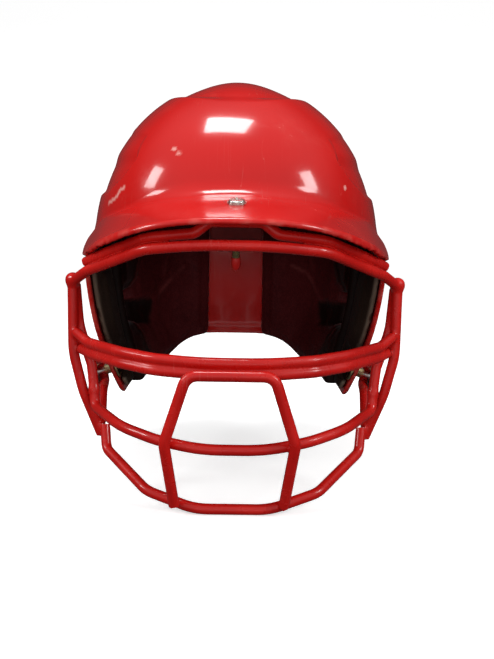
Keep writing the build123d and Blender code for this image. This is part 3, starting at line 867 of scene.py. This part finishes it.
# ---- fasteners ----
BRIGHT, WORN = (0.80, 0.79, 0.74), (0.62, 0.62, 0.58)
zinc = plated_metal("zinc_steel", BRIGHT, WORN, 0.16, 0.34)
BRIM_BOTTOM = to_row((0.0, 0.0, brim_screw_at[2] - 8.0))[2]
screw_metal = plated_metal("brim_screw_steel", BRIGHT, WORN, 0.16, 0.34, BRIM_BOTTOM)
yellow_zinc = plated_metal("zinc_nut", (0.72, 0.58, 0.30), (0.55, 0.47, 0.26), 0.22, 0.42)
cap_vinyl = red_vinyl("red_vinyl_cap", (0.52, 0.010, 0.010), (0.60, 0.015, 0.012))
# the block's red is darkened as painted shade from the brim
block_red_painted_shade = moulded_block("red_block")


def lathe(name, profile, at, along, segments=40):
    """A round piece turned about a line; profile lists (distance along it, radius) in millimetres."""
    side = np.cross(along, (1.0, 0.0, 0.0))
    side /= np.linalg.norm(side)
    other = np.cross(along, side)
    rings = []
    for far, radius in profile:
        for i in range(segments):
            angle = 2.0 * math.pi * i / segments
            rings.append(at + far * along + radius * (math.cos(angle) * side + math.sin(angle) * other))
    faces = []
    for row in range(len(profile) - 1):
        for i in range(segments):
            j = (i + 1) % segments
            low, high = row * segments, (row + 1) * segments
            faces.append((low + i, high + i, high + j, low + j))
    faces.append(tuple(range(segments))[::-1])
    faces.append(tuple((len(profile) - 1) * segments + i for i in range(segments)))
    mesh = bpy.data.meshes.new(name)
    mesh.from_pydata(to_row(rings).tolist(), [], faces)
    turned = bpy.data.objects.new(name, mesh)
    bpy.context.scene.collection.objects.link(turned)
    mesh.shade_smooth()
    return turned


SCREW_END, CAP_LONG, CAP_RADIUS, CAP_ABOVE = -41.2, 9.6, 3.15, 5.6
CAP_BELLY = 0.35                            # where the cap is widest, as a share of its length


def drop_profile(steps=24):
    """A soft cap shaped like a drop, pushed over the screw's end."""
    profile = []
    for i in range(steps + 1):
        share = i / steps
        past = max(share - CAP_BELLY, 0.0) / (1.0 - CAP_BELLY)
        belly = math.sqrt(max(1.0 - past ** 2, 0.0)) ** 1.25
        shoulder = 0.80 + 0.20 * math.sin(math.pi / 2 * min(share / CAP_BELLY, 1.0))
        profile.append((SCREW_END + CAP_ABOVE - CAP_LONG * share, max(CAP_RADIUS * belly * shoulder, 0.05)))
    return profile


screw_cap = lathe("screw_end_cap", drop_profile(), brim_screw_at, brim_normal)
dress(screw_cap, cap_vinyl)
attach(screw_cap, "brim_screw")
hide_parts("brim_screw_cap")
FASTENERS = {
    "brim_screw": screw_metal, "brim_head_washer": zinc, "brim_clamp_washer": zinc, "brim_nut": yellow_zinc,
    "brim_clamp_block": block_red_painted_shade, "side_screw_left": zinc, "side_screw_right": zinc,
    "side_washer_left": zinc, "side_washer_right": zinc, "side_nut_left": yellow_zinc,
    "side_nut_right": yellow_zinc,
}
for name, material in FASTENERS.items():
    dress(nodes[name], material)
    bevel = nodes[name].modifiers.new("worn_edges", "BEVEL")
    bevel.width = 0.2 * MM
    bevel.segments = 2
    bevel.limit_method = "ANGLE"

# ---- camera, floor and lights ----
CAMERA_AT = to_row((0.0, -707.89, 132.36))
CAMERA_PITCH, CAMERA_YAW, CAMERA_ROLL = math.radians(6.98), math.radians(0.782), math.radians(1.0)
FOCAL_SHARE = 900.0 / 659.0                 # focal length over the picture's long side
SENSOR = 36.0
look = Vector((math.sin(CAMERA_YAW) * math.cos(CAMERA_PITCH), math.cos(CAMERA_YAW) * math.cos(CAMERA_PITCH),
               -math.sin(CAMERA_PITCH)))
level_right = look.cross(Vector((0, 0, 1))).normalized()
level_up = level_right.cross(look)
right = math.cos(CAMERA_ROLL) * level_right + math.sin(CAMERA_ROLL) * level_up
up = -math.sin(CAMERA_ROLL) * level_right + math.cos(CAMERA_ROLL) * level_up
camera = bpy.data.objects.new("camera", bpy.data.cameras.new("camera"))
camera.data.sensor_width = SENSOR
camera.data.lens = SENSOR * FOCAL_SHARE
camera.data.clip_end = 50.0
camera.matrix_world = Matrix((
    (right.x, up.x, -look.x, CAMERA_AT[0]),
    (right.y, up.y, -look.y, CAMERA_AT[1]),
    (right.z, up.z, -look.z, CAMERA_AT[2]),
    (0, 0, 0, 1),
))
bpy.context.scene.collection.objects.link(camera)
bpy.context.scene.camera = camera


def floor_material():
    g = Graph("floor")
    cloud = g.noise(3.0, 3.0, 0.5)
    color = g.blend(cloud, (0.90, 0.90, 0.90), (0.93, 0.93, 0.93))
    g.shader.inputs["Emission Color"].default_value = (1.0, 1.0, 1.0, 1.0)
    g.shader.inputs["Emission Strength"].default_value = 0.6
    return g.finish(color, 0.9)


FLOOR_SIZE, WALL_AT, WALL_CURVE, WALL_TOP = 6.0, 2.2, 1.0, 5.0
profile = [(-FLOOR_SIZE, 0.0)]
for i in range(13):
    angle = math.pi / 2 * i / 12
    profile.append((WALL_AT + WALL_CURVE * math.sin(angle), WALL_CURVE * (1 - math.cos(angle))))
profile.append((WALL_AT + WALL_CURVE, WALL_TOP))
floor_mesh = bpy.data.meshes.new("floor")
floor_mesh.from_pydata(
    [(side * FLOOR_SIZE, y, z) for y, z in profile for side in (-1, 1)], [],
    [(2 * i, 2 * i + 1, 2 * i + 3, 2 * i + 2) for i in range(len(profile) - 1)],
)
floor = bpy.data.objects.new("floor", floor_mesh)
bpy.context.scene.collection.objects.link(floor)
floor_mesh.shade_smooth()
dress(floor, floor_material())
floor.visible_diffuse = False       # white to the eye, and it throws no light up at the helmet
floor.visible_glossy = False

SKY_LOW, SKY_HIGH = 0.05, 0.54      # room light from behind and from the bright side
SKY_SIDE = (0.0, -0.65, 0.76)       # where the bright side is: above and in front
world = bpy.data.worlds.new("studio")
bpy.context.scene.world = world
world.use_nodes = True
sky = world.node_tree
direction = sky.nodes.new("ShaderNodeTexCoord")
facing = sky.nodes.new("ShaderNodeVectorMath")
facing.operation = "DOT_PRODUCT"
facing.inputs[1].default_value = SKY_SIDE
ramp = sky.nodes.new("ShaderNodeMapRange")
ramp.interpolation_type = "SMOOTHSTEP"
for key, number in zip(("From Min", "From Max", "To Min", "To Max"), (0.0, 0.75, SKY_LOW, SKY_HIGH)):
    ramp.inputs[key].default_value = number
sky.links.new(direction.outputs["Generated"], facing.inputs[0])
sky.links.new(facing.outputs["Value"], ramp.inputs["Value"])
sky.links.new(ramp.outputs["Result"], sky.nodes["Background"].inputs["Strength"])
sky.nodes["Background"].inputs["Color"].default_value = (1.0, 1.0, 1.0, 1.0)
bpy.context.scene.view_settings.view_transform = "Standard"


def soft_light(name, at, target, size, power):
    """Rectangular lamp that faces target; places are in the row frame, in metres."""
    data = bpy.data.lights.new(name, "AREA")
    data.shape = "RECTANGLE"
    data.size, data.size_y = size
    data.energy = power
    lamp = bpy.data.objects.new(name, data)
    lamp.location = at
    lamp.rotation_euler = (Vector(target) - Vector(at)).to_track_quat("-Z", "Y").to_euler()
    bpy.context.scene.collection.objects.link(lamp)
    return lamp


FRONT_TOP = to_row((-7.0, -100.0, 193.0))
LEFT_BROW, RIGHT_BROW = to_row((-55.0, -105.0, 159.0)), to_row((47.0, -109.0, 158.0))
soft_light("ceiling_window", to_row((-140.0, -70.0, 1650.0)), FRONT_TOP, (0.44, 0.50), 13.0)
soft_light("left_window", to_row((-1340.0, -350.0, 855.0)), LEFT_BROW, (0.33, 0.42), 5.5)
soft_light("right_window", to_row((1200.0, -680.0, 875.0)), RIGHT_BROW, (0.33, 0.42), 5.5)
FACE = to_row((0.0, -60.0, 90.0))
fills = [
    soft_light("front_fill", to_row((0.0, -1700.0, 120.0)), FACE, (1.4, 0.30), 4.8),
    soft_light("left_fill", to_row((-1400.0, -700.0, 500.0)), FACE, (0.8, 0.8), 3.6),
    soft_light("right_fill", to_row((1400.0, -700.0, 500.0)), FACE, (0.8, 0.8), 3.6),
]
for fill in fills:
    fill.visible_glossy = False     # a fill brightens, and leaves no highlight of its own
